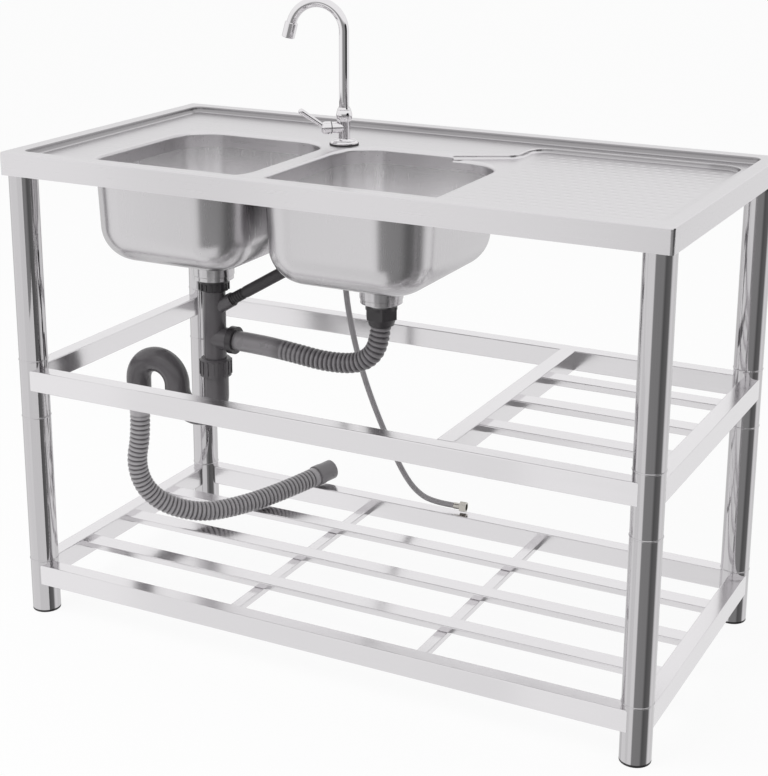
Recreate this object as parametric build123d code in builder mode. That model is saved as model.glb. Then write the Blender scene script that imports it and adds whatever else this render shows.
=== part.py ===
# Free-standing double bowl sink bench in stainless steel: pressed worktop with two bowls and a
# drainboard, a swivel tap, two slatted shelves between four tubular legs, and the waste plumbing.
# Millimetres. Origin on the floor under the middle of the bench, +X right, +Y back, +Z up.

import os
from math import cos, pi, radians, sin, tan

from build123d import *

os.makedirs("parts", exist_ok=True)

# Bench
bench_width = 1200.0
bench_depth = 600.0
rim_height = 860.0
fit_gap = 0.1  # between pieces that are welded or pushed together

# Worktop pressing
sheet = 1.2
apron_height = 40.0
apron_return = 12.0
bench_corner = 6.0
fold_radius = 3.0
rim_width = 28.0
deck_drop = 12.0
deck_corner = 16.0
deck_foot = 8.0
lip_radius = 6.0
drain_drop = 8.0
drain_edge = 2.5
drain_foot = 5.0
drain_side_margin = 48.0
drain_rear_margin = 60.0
drain_front_margin = 54.0
drain_corner = 34.0
drain_neck_overlap = 4.0
drain_wing = 82.0
drain_mouth_reach = 35.0
drain_mouth_overlap = 6.0
flare_margin = 40.0  # width of the ring that a lip's radius is cut from
sharp_edge = 0.01  # what is left of a fully rounded edge
return_gap = 1.0

# Bowls
bowl_width = 302.0
bowl_length = 360.0
bowl_gap = 36.0
bowl_corner = 78.0
bowl_floor = 672.0
bowl_draft = 2.5
bowl_bottom_radius = 62.0
bowl_side_margin = 136.0
bowl_front_margin = 42.0
overflow_height = 765.0
overflow_bore = 24.0

# Legs
leg_inset = 28.0
leg_diameter = 51.0
leg_wall = 1.2
post_length = 106.0
foot_post_length = 98.0
foot_thickness = 4.0
foot_plug = 22.0
foot_edge = 1.5
seam_chamfer = 0.5
mid_post_bottom = 379.0
coupler_length = 52.0
coupler_wall = 2.0
socket_plate = 52.0
socket_plate_thickness = 2.5
socket_length = 58.0

# Shelf rails, slats and bars
rail_height = 38.0
rail_width = 30.0
rail_wall = 1.2
rail_edge = 2.0
rail_setback = 4.0
rail_above_post_foot = 52.0
slat_width = 36.0
slat_height = 12.0
slat_wall = 1.0
slat_pitch = 137.0
slat_count = 3
slat_sunk = 8.0
bar_width = 20.0
bar_height = 12.0
bar_spacing = 366.0
cross_rail_from_right = 365.0

# Tap
tap_behind_bowls = 0.0
tap_hole = 24.0
tap_shank = 21.0
tap_shank_length = 54.0
tap_bore = 12.0
gasket_diameter = 53.0
gasket_thickness = 2.5
flange_diameter = 51.0
flange_thickness = 4.0
flange_bevel = 2.0
flange_slope = 1.0
column_root = 4.0
column_diameter = 21.5
valve_rise = 31.0
valve_turn = 221.0
boss_diameter = 21.0
boss_length = 25.0
spindle_diameter = 12.0
spindle_gap = 2.0
running_gap = 0.05
seat_gap = 0.3
neck_diameter = 22.0
neck_rise = 56.0
neck_length = 13.0
neck_step = 1.0
collar_diameter = 29.0
collar_height = 24.0
collar_overlap = 12.5
collar_bevel = 2.0
collar_waist = 3.0
collar_crown = 4.0
collar_mouth = 1.5
collar_belly = 0.4  # share of the height where the collar is widest
spout_diameter = 18.0
spout_wall = 1.5
spout_rise = 202.0
spout_radius = 50.0
spout_bend = 165.0
spout_turn = 190.0
spout_ring = 21.4
spout_ring_height = 2.0
aerator_diameter = 23.5
aerator_length = 28.0
aerator_lip = 3.0
aerator_chamfer = 1.0
hub_diameter = 23.0
hub_length = 17.0
lever_length = 54.0
lever_tilt = 35.0
lever_root = 8.0
lever_tip = 11.0
back_nut_size = 32.0
back_nut_height = 9.0
supply_nut_size = 28.0
supply_nut_height = 16.0

# Strainers and baskets
strainer_flange = 106.0
strainer_flange_thickness = 1.6
strainer_flange_edge = 1.5
strainer_cup = 70.0
strainer_wall = 1.5
strainer_depth = 52.8
ledge_gap = 2.0
ledge_drop = 1.0
cup_bevel = 2.0
spigot_diameter = 48.0
spigot_bore = 40.0
spigot_length = 14.0
lock_ring = 75.0
lock_ring_height = 48.0
lock_ring_foot = 7.0
lock_ring_step = 1.2
washer_diameter = 80.0
washer_thickness = 2.5
basket_diameter = 66.0
basket_rim = 76.0
basket_depth = 20.0
basket_wall = 1.2
basket_bevel = 6.0
basket_holes = 12
basket_hole = 6.0
basket_hole_inset = 11.0
knob_diameter = 14.0
knob_stem = 8.0
knob_drop = 2.0
knob_height = 6.0

# Waste plumbing
pipe_diameter = 41.0
pipe_bore = 36.0
collar_lip = 3.0
tee_bottom = 440.0
side_branch_rise = 562.0
side_branch_tilt = 31.0
side_branch = 28.0
side_branch_taper = 1.5
side_socket = 6.0
side_branch_reach = 46.0
hose_branch_rise = 509.0
hose_branch_reach = 44.0
top_nut = 54.0
nut_height = 18.0
nut_lip = 4.0
nut_chamfer = 2.0
grip_ribs = 16
grip_width = 4.0
grip_depth = 1.6
branch_nut = 50.0
branch_nut_length = 12.0
branch_nut_lip = 2.0
slip_nut = 57.0
slip_nut_height = 33.0
slip_nut_top = 471.0
slip_nut_bevel = 3.0
hex_nut = 51.0
hex_nut_height = 34.0
hex_nut_flange = 55.0
hex_nut_flange_height = 6.0
hex_nut_taper = 12.0
trap_diameter = 46.0
trap_bore = 41.2
trap_bend = 43.0
trap_low_centre = 400.0
trap_high_centre = 404.0
trap_outlet = 360.0
trap_cap = 6.0
trap_cap_overlap = 1.0
trap_spigot_length = 20.0
trap_spigot_wall = 2.0

# Hoses
rib_pitch = 9.0
rib_depth = 2.6
rib_valley = (0.2, 0.4)  # shares of a rib's pitch
rib_crest = 0.6
link_hose = 36.0
waste_hose = 38.0
hose_wall = 2.0
link_plain = 120.0
cuff_plain = 24.0
hose_cuff = 42.0
hose_cuff_length = 46.0
cuff_step = 1.0
cuff_band_start = 2.0
cuff_band = 15.0
supply_hose_diameter = 11.0
supply_end_size = 19.0
supply_end_length = 13.0
supply_end_thread = 14.0
ferrule_wall = 0.8
ferrule_length = 13.0
overflow_hose_diameter = 21.0
overflow_hose_bore = 17.0
overflow_beside_bowl = 17.0
outlet_drop = 24.0
elbow_wall = 4.0
outlet_flange = 8.0
rosette_diameter = 34.0
rosette_thickness = 2.0
rosette_hole = 5.0
rosette_holes = 6

# Heights and places that follow
deck_height = rim_height - deck_drop
drain_height = deck_height - drain_drop
apron_bottom = rim_height - apron_height
bowl_pitch = bowl_width + bowl_gap
left_x = bowl_side_margin + bowl_width / 2 - bench_width / 2
right_x = left_x + bowl_pitch
bowl_y = bowl_front_margin + bowl_length / 2 - bench_depth / 2
bowl_back = bowl_y + bowl_length / 2
drain_right = bench_width / 2 - drain_side_margin
drain_rear = bench_depth / 2 - drain_rear_margin
drain_front = drain_front_margin - bench_depth / 2
drain_neck = (right_x + bowl_width / 2 - drain_neck_overlap, drain_rear - drain_wing)
drain_mouth = (right_x + drain_mouth_reach, bowl_back - drain_mouth_overlap)
tap_x = (left_x + right_x) / 2
tap_y = bowl_back + tap_behind_bowls
leg_x = bench_width / 2 - leg_inset
leg_y = bench_depth / 2 - leg_inset
leg_radius = leg_diameter / 2
leg_bore = leg_diameter - 2 * leg_wall
mid_post_top = mid_post_bottom + post_length
foot_post_top = foot_thickness + foot_post_length
leg_top = deck_height - sheet - socket_plate_thickness
mid_top = mid_post_bottom + rail_above_post_foot + rail_height
low_top = foot_thickness + rail_above_post_foot + rail_height
rail_x = bench_width / 2 - rail_setback - rail_width / 2
rail_y = bench_depth / 2 - rail_setback - rail_width / 2
rail_inner_x = rail_x - rail_width / 2
rail_inner_y = rail_y - rail_width / 2
cross_rail_x = bench_width / 2 - cross_rail_from_right
corners = {
    "front_left": (-leg_x, -leg_y),
    "front_right": (leg_x, -leg_y),
    "rear_left": (-leg_x, leg_y),
    "rear_right": (leg_x, leg_y),
}
strainer_bottom = bowl_floor - strainer_depth
spigot_end = strainer_bottom - spigot_length


def save(solid, name):
    solid.label = name
    export_step(solid, f"parts/{name}.step")


def at(plane_origin, direction, x_dir=None):
    return Plane(origin=plane_origin, x_dir=x_dir, z_dir=direction)


def flare_tool(outline_grow, radius, height, bowl_x):
    """Trumpet-mouthed plug that rolls the sheet over into a bowl below the given height."""
    opening = (bowl_width + 2 * outline_grow, bowl_length + 2 * outline_grow)
    with BuildPart() as lip:
        with BuildSketch(Plane.XY.offset(height - radius)):
            with Locations((bowl_x, bowl_y)):
                Rectangle(opening[0] + flare_margin, opening[1] + flare_margin)
                RectangleRounded(*opening, bowl_corner + outline_grow, mode=Mode.SUBTRACT)
        extrude(amount=radius)
        mouth = lip.edges().group_by(Axis.Z)[-1].filter_by(lambda e: inside_opening(e, bowl_x, opening))
        fillet(mouth, radius=radius - sharp_edge)
    with BuildPart() as plug:
        with BuildSketch(Plane.XY.offset(height - radius)):
            with Locations((bowl_x, bowl_y)):
                Rectangle(opening[0] + flare_margin, opening[1] + flare_margin)
        extrude(amount=radius)
        add(lip.part, mode=Mode.SUBTRACT)
    return plug.part


def inside_opening(edge, bowl_x, opening):
    middle = edge.center(CenterOf.BOUNDING_BOX)
    inside_x = abs(middle.X - bowl_x) < opening[0] / 2 + fit_gap
    inside_y = abs(middle.Y - bowl_y) < opening[1] / 2 + fit_gap
    return inside_x and inside_y


def drain_outline(grow):
    """Recess of the drainboard, open into the right bowl by a flared neck."""
    corner_points = [
        (drain_mouth[0], drain_front - grow),
        (drain_right + grow, drain_front - grow),
        (drain_right + grow, drain_rear + grow),
        (drain_neck[0] - grow, drain_rear + grow),
        (drain_neck[0] - grow, drain_neck[1] + grow),
        (drain_mouth[0], drain_mouth[1] + grow),
    ]
    with BuildSketch() as outline:
        with BuildLine():
            Polyline(*corner_points, close=True)
        make_face()
        rounded = outline.vertices().filter_by(lambda v: v.X > drain_mouth[0] + fit_gap)
        fillet(rounded, radius=drain_corner)
    return outline.sketch


def hollow_edges(form, height):
    """Upper edges of the hollow that is sunk into the level face at the given height."""
    level = form.faces().filter_by_position(Axis.Z, height - fit_gap, height + fit_gap)
    return level.filter_by(Plane.XY)[0].inner_wires()[0].edges()


def pressing(inset):
    """Everything under the worktop's upper surface, when that surface is lowered by inset."""
    with BuildPart() as form:
        with BuildSketch(Plane.XY.offset(apron_bottom)):
            RectangleRounded(bench_width - 2 * inset, bench_depth - 2 * inset, bench_corner - inset)
        extrude(amount=apron_height - inset)
        fillet(form.edges().group_by(Axis.Z)[-1], radius=fold_radius - inset)

        with BuildSketch(Plane.XY.offset(deck_height - inset)):
            RectangleRounded(
                bench_width - 2 * rim_width + 2 * inset,
                bench_depth - 2 * rim_width + 2 * inset,
                deck_corner + inset,
            )
        extrude(amount=deck_drop, mode=Mode.SUBTRACT)
        pocket = form.edges(Select.LAST)
        fillet(pocket.group_by(Axis.Z)[0], radius=deck_foot + inset)
        fillet(hollow_edges(form, rim_height - inset), radius=fold_radius - inset)

        with BuildSketch(Plane.XY.offset(drain_height - inset)):
            add(drain_outline(inset))
        extrude(amount=drain_drop, mode=Mode.SUBTRACT)
        recess = form.edges(Select.LAST)
        fillet(recess.group_by(Axis.Z)[0], radius=drain_foot + inset)
        fillet(hollow_edges(form, deck_height - inset), radius=drain_edge - inset)

        with BuildSketch(Plane.XY.offset(apron_bottom)):
            with Locations((left_x, bowl_y), (right_x, bowl_y)):
                RectangleRounded(bowl_width + 2 * inset, bowl_length + 2 * inset, bowl_corner + inset)
        extrude(amount=apron_height, mode=Mode.SUBTRACT)
        for bowl_x in (left_x, right_x):
            add(flare_tool(inset, lip_radius - inset, deck_height - inset, bowl_x), mode=Mode.SUBTRACT)
        add(drain_flare(inset), mode=Mode.SUBTRACT)
    return form.part


def drain_flare(inset):
    """The same rolled lip where the drainboard runs down into the right bowl."""
    height = drain_height - inset
    with BuildPart() as flare:
        with BuildSketch(Plane.XY.offset(height - lip_radius)):
            add(drain_outline(inset))
        extrude(amount=lip_radius)
        add(flare_tool(inset, lip_radius - inset, height, right_x), mode=Mode.INTERSECT)
    return flare.part


# Worktop: one pressed sheet with rim, deck, drainboard, apron and returns
with BuildPart() as returns:
    with BuildSketch(Plane.XY.offset(apron_bottom)):
        RectangleRounded(bench_width, bench_depth, bench_corner)
        Rectangle(bench_width - 2 * apron_return, bench_depth - 2 * apron_return, mode=Mode.SUBTRACT)
        with Locations(*corners.values()):
            Circle(leg_radius + return_gap, mode=Mode.SUBTRACT)
    extrude(amount=sheet)

with BuildPart() as worktop:
    add(pressing(0.0))
    add(pressing(sheet), mode=Mode.SUBTRACT)
    add(returns.part)
    with Locations((tap_x, tap_y, deck_height)):
        Hole(tap_hole / 2, depth=2 * sheet)
save(worktop.part, "worktop")


def bowl_form(bowl_x, grow, floor):
    with BuildPart() as form:
        with BuildSketch(Plane.XY.offset(apron_bottom)):
            with Locations((bowl_x, bowl_y)):
                RectangleRounded(bowl_width + 2 * grow, bowl_length + 2 * grow, bowl_corner + grow)
        extrude(amount=floor - apron_bottom, taper=bowl_draft)
        fillet(form.edges().group_by(Axis.Z)[0], radius=bowl_bottom_radius + grow)
    return form.part


def make_bowl(name, bowl_x, has_overflow):
    with BuildPart() as bowl:
        add(bowl_form(bowl_x, sheet, bowl_floor - sheet))
        add(bowl_form(bowl_x, 0.0, bowl_floor), mode=Mode.SUBTRACT)
        with Locations((bowl_x, bowl_y, bowl_floor)):
            Hole(strainer_cup / 2 + fit_gap, depth=2 * sheet)
        if has_overflow:
            with BuildSketch(at((bowl_x + bowl_width / 2, bowl_y, overflow_height), (1, 0, 0))):
                Circle(overflow_bore / 2)
            extrude(amount=overflow_bore, both=True, mode=Mode.SUBTRACT)
    save(bowl.part, name)


make_bowl("left_bowl", left_x, True)
make_bowl("right_bowl", right_x, False)


# Legs: two tubes and two shelf posts on each corner, over hidden couplers
def tube(name, place, bottom, top):
    with BuildPart() as pipe:
        with BuildSketch(Plane.XY.offset(bottom)):
            with Locations(place):
                Circle(leg_radius)
                Circle(leg_bore / 2, mode=Mode.SUBTRACT)
        extrude(amount=top - bottom)
        rounds = pipe.edges().filter_by(GeomType.CIRCLE)
        chamfer(rounds.filter_by(lambda e: e.radius > leg_bore / 2 + fit_gap), length=seam_chamfer)
    save(pipe.part, name)


for corner, place in corners.items():
    tube(f"leg_upper_{corner}", place, mid_post_top, leg_top)
    tube(f"mid_post_{corner}", place, mid_post_bottom, mid_post_top)
    tube(f"leg_lower_{corner}", place, foot_post_top, mid_post_bottom)
    tube(f"foot_post_{corner}", place, foot_thickness, foot_post_top)

coupler_radius = leg_bore / 2 - fit_gap / 2
with BuildPart() as leg_couplers:
    for seam in (foot_post_top, mid_post_bottom, mid_post_top):
        with BuildSketch(Plane.XY.offset(seam - coupler_length / 2)):
            with Locations(*corners.values()):
                Circle(coupler_radius)
                Circle(coupler_radius - coupler_wall, mode=Mode.SUBTRACT)
        extrude(amount=coupler_length)
save(leg_couplers.part, "leg_couplers")

with BuildPart() as leg_sockets:
    with BuildSketch(Plane.XY.offset(leg_top)):
        with Locations(*corners.values()):
            RectangleRounded(socket_plate, socket_plate, bench_corner)
    extrude(amount=socket_plate_thickness)
    with BuildSketch(Plane.XY.offset(leg_top - socket_length)):
        with Locations(*corners.values()):
            Circle(coupler_radius)
            Circle(coupler_radius - coupler_wall, mode=Mode.SUBTRACT)
    extrude(amount=socket_length)
save(leg_sockets.part, "leg_sockets")

with BuildPart() as feet:
    with BuildSketch():
        with Locations(*corners.values()):
            Circle(leg_radius)
    extrude(amount=foot_thickness)
    fillet(feet.edges().group_by(Axis.Z)[0], radius=foot_edge)
    with BuildSketch(Plane.XY.offset(foot_thickness)):
        with Locations(*corners.values()):
            Circle(coupler_radius)
    extrude(amount=foot_plug)
save(feet.part, "feet")


# Shelf rails: rectangular tubes with saddle-cut ends against the posts
def box_tube(plane, section_width, section_height, length):
    with BuildPart() as box:
        with BuildSketch(plane):
            RectangleRounded(section_width, section_height, rail_edge)
            RectangleRounded(section_width - 2 * rail_wall, section_height - 2 * rail_wall,
                             rail_edge - rail_wall, mode=Mode.SUBTRACT)
        extrude(amount=length)
    return box.part


def saddle_cuts(top):
    with BuildPart() as posts:
        with BuildSketch(Plane.XY.offset(top)):
            with Locations(*corners.values()):
                Circle(leg_radius + fit_gap)
        extrude(amount=-rail_height)
    return posts.part


def long_rail(name, side, top):
    middle = (-leg_x, side * rail_y, top - rail_height / 2)
    with BuildPart() as rail:
        add(box_tube(at(middle, (1, 0, 0), (0, 1, 0)), rail_width, rail_height, 2 * leg_x))
        add(saddle_cuts(top), mode=Mode.SUBTRACT)
    save(rail.part, name)


def side_rail(name, side, top):
    middle = (side * rail_x, -leg_y, top - rail_height / 2)
    with BuildPart() as rail:
        add(box_tube(at(middle, (0, 1, 0), (1, 0, 0)), rail_width, rail_height, 2 * leg_y))
        add(saddle_cuts(top), mode=Mode.SUBTRACT)
    save(rail.part, name)


for shelf, top in (("mid", mid_top), ("lower", low_top)):
    long_rail(f"{shelf}_front_rail", -1, top)
    long_rail(f"{shelf}_rear_rail", 1, top)
    side_rail(f"{shelf}_left_rail", -1, top)
    side_rail(f"{shelf}_right_rail", 1, top)

# Cross rail that carries the left ends of the short slats
cross_inner_x = cross_rail_x + rail_width / 2
cross_start = (cross_rail_x, -rail_inner_y, mid_top - rail_height / 2)
cross_plane = at(cross_start, (0, 1, 0), (1, 0, 0))
with BuildPart() as mid_cross_rail:
    add(box_tube(cross_plane, rail_width, rail_height, 2 * rail_inner_y))
save(mid_cross_rail.part, "mid_cross_rail")


def slats(name, left_end, right_end, top):
    with BuildPart() as row:
        middle = top - slat_sunk - slat_height / 2
        with BuildSketch(at((left_end, 0, middle), (1, 0, 0), (0, 1, 0))):
            with GridLocations(slat_pitch, 0, slat_count, 1):
                RectangleRounded(slat_width, slat_height, rail_edge)
                RectangleRounded(slat_width - 2 * slat_wall, slat_height - 2 * slat_wall,
                                 rail_edge - slat_wall, mode=Mode.SUBTRACT)
        extrude(amount=right_end - left_end)
    save(row.part, name)


slats("lower_slats", -rail_inner_x, rail_inner_x, low_top)
slats("mid_slats", cross_inner_x, rail_inner_x, mid_top)

bar_top = low_top - slat_sunk - slat_height
with BuildPart() as lower_cross_bars:
    with BuildSketch(at((0, -rail_inner_y, bar_top - bar_height / 2), (0, 1, 0), (1, 0, 0))):
        with GridLocations(bar_spacing, 0, 2, 1):
            RectangleRounded(bar_width, bar_height, rail_edge)
            RectangleRounded(bar_width - 2 * slat_wall, bar_height - 2 * slat_wall,
                             rail_edge - slat_wall, mode=Mode.SUBTRACT)
    extrude(amount=2 * rail_inner_y)
save(lower_cross_bars.part, "lower_cross_bars")

# Tap body: flange, column, neck, side boss and threaded shank, bored through
flange_bottom = deck_height + gasket_thickness
valve_height = deck_height + valve_rise
neck_top = deck_height + neck_rise
shank_end = deck_height - tap_shank_length
spout_foot = valve_height + boss_diameter / 2
valve_dir = (cos(radians(valve_turn)), sin(radians(valve_turn)), 0)
valve_plane = at((tap_x, tap_y, valve_height), valve_dir, (0, 0, 1))

with BuildPart() as tap_gasket:
    with BuildSketch(Plane.XY.offset(deck_height)):
        with Locations((tap_x, tap_y)):
            Circle(gasket_diameter / 2)
            Circle(tap_shank / 2 + fit_gap, mode=Mode.SUBTRACT)
    extrude(amount=gasket_thickness)
save(tap_gasket.part, "tap_gasket")

tap_plane = at((tap_x, tap_y, 0), (0, -1, 0), (1, 0, 0))
column = column_diameter / 2
flange = flange_diameter / 2
tap_flange_top = flange_bottom + flange_thickness
slope_end = (column + column_root, tap_flange_top + flange_slope)
column_foot = (column, slope_end[1] + column_root)
neck_foot = neck_top - neck_length
with BuildPart() as tap_body:
    with BuildSketch(tap_plane):
        with BuildLine():
            Polyline(
                (0, shank_end), (tap_shank / 2, shank_end), (tap_shank / 2, flange_bottom),
                (flange, flange_bottom), (flange, tap_flange_top - flange_bevel),
                (flange - flange_bevel, tap_flange_top), slope_end,
            )
            RadiusArc(slope_end, column_foot, column_root)
            Polyline(
                column_foot, (column, neck_foot - neck_step), (neck_diameter / 2, neck_foot),
                (neck_diameter / 2, neck_top), (0, neck_top), (0, shank_end),
            )
        make_face()
    revolve(axis=Axis((tap_x, tap_y, 0), (0, 0, 1)))
    with BuildSketch(valve_plane):
        Circle(boss_diameter / 2)
    extrude(amount=boss_length)
    with Locations((tap_x, tap_y, neck_top)):
        Hole(spout_diameter / 2 + running_gap, depth=neck_top - spout_foot)
    with Locations((tap_x, tap_y, spout_foot)):
        Hole(tap_bore / 2, depth=spout_foot - shank_end)
    with BuildSketch(valve_plane.offset(boss_length)):
        Circle(spindle_diameter / 2 + running_gap)
    extrude(amount=-(boss_length - tap_bore / 2), mode=Mode.SUBTRACT)
save(tap_body.part, "tap_body")

# Quarter-turn spindle with a slotted end, and the lever on it
spindle_start = tap_bore / 2 + spindle_gap
hub_start = boss_length + seat_gap
with BuildPart() as tap_valve:
    with BuildSketch(valve_plane.offset(spindle_start)):
        Circle(spindle_diameter / 2)
    extrude(amount=hub_start + hub_length / 2 - spindle_start)
    with BuildSketch(valve_plane.offset(spindle_start)):
        Rectangle(spindle_diameter, spindle_diameter / 3)
    extrude(amount=(boss_length - spindle_start) / 2, mode=Mode.SUBTRACT)
save(tap_valve.part, "tap_valve")

hub_middle = valve_plane.offset(hub_start + hub_length / 2).origin
lever_dir = Vector(*valve_dir) * cos(radians(lever_tilt)) + Vector(0, 0, 1) * sin(radians(lever_tilt))
lever_plane = at(hub_middle, lever_dir)
with BuildPart() as tap_lever:
    with BuildSketch(valve_plane.offset(hub_start)):
        Circle(hub_diameter / 2)
    extrude(amount=hub_length)
    fillet(tap_lever.edges().sort_by(lambda e: (e.center() - hub_middle).dot(Vector(*valve_dir)))[-1],
           radius=hub_length / 2)
    with BuildSketch(lever_plane):
        Circle(lever_root / 2)
    with BuildSketch(lever_plane.offset(lever_length)):
        Circle(lever_tip / 2)
    loft()
    with Locations(lever_plane.offset(lever_length).location):
        Sphere(lever_tip / 2)
    with BuildSketch(valve_plane.offset(hub_start)):
        Circle(spindle_diameter / 2)
    extrude(amount=hub_length / 2, mode=Mode.SUBTRACT)
save(tap_lever.part, "tap_lever")

# Collar nut that traps the ring of the swivel spout on the neck
ring_bottom = neck_top + seat_gap
ring_top = ring_bottom + spout_ring_height
collar_bottom = neck_top - collar_overlap
collar_top = collar_bottom + collar_height
collar = collar_diameter / 2
collar_foot = (collar - collar_bevel, collar_bottom)
collar_middle = (collar, collar_bottom + collar_belly * collar_height)
collar_shoulder = (collar - collar_waist, collar_top - collar_crown)
with BuildPart() as tap_collar:
    with BuildSketch(tap_plane):
        with BuildLine():
            Line((neck_diameter / 2 + fit_gap, collar_bottom), collar_foot)
            ThreePointArc(collar_foot, collar_middle, collar_shoulder)
            Polyline(
                collar_shoulder, (spout_diameter / 2 + collar_mouth, collar_top),
                (spout_diameter / 2 + seat_gap, collar_top),
                (spout_diameter / 2 + seat_gap, ring_top + seat_gap),
                (neck_diameter / 2 + fit_gap, ring_top + seat_gap),
                (neck_diameter / 2 + fit_gap, collar_bottom),
            )
        make_face()
    revolve(axis=Axis((tap_x, tap_y, 0), (0, 0, 1)))
save(tap_collar.part, "tap_collar")

spout_dir = Vector(cos(radians(spout_turn)), sin(radians(spout_turn)), 0)
spout_plane = at((tap_x, tap_y, 0), spout_dir.cross(Vector(0, 0, 1)), spout_dir)
spring_line = deck_height + spout_rise
spout_start = spout_foot + seat_gap
with BuildPart() as tap_spout:
    with BuildLine(spout_plane) as spout_path:
        Line((0, spout_start), (0, spring_line))
        bend = CenterArc((spout_radius, spring_line), spout_radius, 180, -spout_bend)
        Line(bend @ 1, bend @ 1 + (bend % 1) * (aerator_length - aerator_lip))
    with BuildSketch(Plane.XY.offset(spout_start)):
        with Locations((tap_x, tap_y)):
            Circle(spout_diameter / 2)
    sweep(path=spout_path.wires()[0])
    with BuildSketch(Plane.XY.offset(ring_bottom)):
        with Locations((tap_x, tap_y)):
            Circle(spout_ring / 2)
    extrude(amount=spout_ring_height)
    with BuildSketch(Plane.XY.offset(spout_start)):
        with Locations((tap_x, tap_y)):
            Circle(spout_diameter / 2 - spout_wall)
    sweep(path=spout_path.wires()[0], mode=Mode.SUBTRACT)
save(tap_spout.part, "tap_spout")

spout_wire = spout_path.wires()[0]
nozzle_plane = Plane(origin=spout_wire @ 1, z_dir=spout_wire % 1)
with BuildPart() as tap_aerator:
    with BuildSketch(nozzle_plane.offset(-aerator_length + aerator_lip)):
        Circle(aerator_diameter / 2)
    extrude(amount=aerator_length)
    chamfer(tap_aerator.edges().filter_by(GeomType.CIRCLE), length=aerator_chamfer)
    with BuildSketch(nozzle_plane.offset(-aerator_length + aerator_lip)):
        Circle(spout_diameter / 2 + running_gap)
    extrude(amount=aerator_length - aerator_lip, mode=Mode.SUBTRACT)
    with BuildSketch(nozzle_plane):
        Circle(spout_diameter / 2 - spout_wall)
    extrude(amount=aerator_lip, mode=Mode.SUBTRACT)
save(tap_aerator.part, "tap_aerator")

# Nuts under the deck: back nut on the shank, and the supply hose's swivel nut at its end
supply_nut_top = shank_end + supply_nut_height / 2
hose_top = shank_end
with BuildPart() as tap_nuts:
    with BuildSketch(Plane.XY.offset(deck_height - sheet - back_nut_height)):
        with Locations((tap_x, tap_y)):
            RegularPolygon(back_nut_size / 2, 6, major_radius=False)
            Circle(tap_shank / 2 + fit_gap, mode=Mode.SUBTRACT)
    extrude(amount=back_nut_height)
    with BuildSketch(Plane.XY.offset(supply_nut_top - supply_nut_height)):
        with Locations((tap_x, tap_y)):
            RegularPolygon(supply_nut_size / 2, 6, major_radius=False)
            Circle(supply_hose_diameter / 2 + fit_gap, mode=Mode.SUBTRACT)
    extrude(amount=supply_nut_height)
    with BuildSketch(Plane.XY.offset(shank_end)):
        with Locations((tap_x, tap_y)):
            Circle(tap_shank / 2 + fit_gap)
    extrude(amount=supply_nut_height, mode=Mode.SUBTRACT)
save(tap_nuts.part, "tap_nuts")


# Strainers: flanged cup through the bowl floor, with washer, lock ring and a lift-out basket
def revolved(points, centre_x, centre_y):
    with BuildPart() as turned:
        with BuildSketch(at((centre_x, centre_y, 0), (0, -1, 0), (1, 0, 0))):
            with BuildLine():
                Polyline(*points, close=True)
            make_face()
        revolve(axis=Axis((centre_x, centre_y, 0), (0, 0, 1)))
    return turned.part


cup = strainer_cup / 2
flange_top = bowl_floor + strainer_flange_thickness
ledge = basket_rim / 2 + ledge_gap
cup_floor = strainer_bottom + strainer_wall


def make_strainer(name, centre_x):
    profile = [
        (cup, bowl_floor), (strainer_flange / 2, bowl_floor),
        (strainer_flange / 2 - strainer_flange_edge, flange_top), (ledge, flange_top),
        (cup - strainer_wall, flange_top - ledge_drop), (cup - strainer_wall, cup_floor),
        (spigot_bore / 2, cup_floor), (spigot_bore / 2, spigot_end),
        (spigot_diameter / 2, spigot_end), (spigot_diameter / 2, strainer_bottom),
        (cup - cup_bevel, strainer_bottom), (cup, strainer_bottom + cup_bevel),
    ]
    save(revolved(profile, centre_x, bowl_y), name)


def make_basket(name, centre_x):
    top = flange_top + seat_gap
    body = basket_diameter / 2
    bottom = top - basket_depth
    knob = knob_diameter / 2
    knob_top = top + knob_height
    bevel = basket_bevel + basket_wall / 2
    profile = [
        (0, bottom), (body - basket_bevel, bottom), (body, bottom + basket_bevel), (body, top),
        (basket_rim / 2, top), (basket_rim / 2, top + basket_wall), (body - basket_wall, top + basket_wall),
        (body - basket_wall, bottom + bevel), (body - bevel, bottom + basket_wall),
        (knob_stem / 2, bottom + basket_wall), (knob_stem / 2, top - knob_drop), (knob, top),
        (knob, knob_top - knob_drop), (knob - knob_drop, knob_top), (0, knob_top),
    ]
    with BuildPart() as basket:
        add(revolved(profile, centre_x, bowl_y))
        with BuildSketch(Plane.XY.offset(bottom)):
            with Locations((centre_x, bowl_y)):
                with PolarLocations(body - basket_hole_inset, basket_holes):
                    Circle(basket_hole / 2)
        extrude(amount=basket_wall, mode=Mode.SUBTRACT)
    save(basket.part, name)


for side, centre_x in (("left", left_x), ("right", right_x)):
    make_strainer(f"{side}_strainer", centre_x)
    make_basket(f"{side}_basket", centre_x)

washer_top = bowl_floor - sheet
washer_bottom = washer_top - washer_thickness
lock_bottom = washer_bottom - lock_ring_height
drains = ((left_x, bowl_y), (right_x, bowl_y))
with BuildPart() as strainer_gaskets:
    with BuildSketch(Plane.XY.offset(washer_bottom)):
        with Locations(*drains):
            Circle(washer_diameter / 2)
            Circle(cup + fit_gap, mode=Mode.SUBTRACT)
    extrude(amount=washer_thickness)
save(strainer_gaskets.part, "strainer_gaskets")

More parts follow.
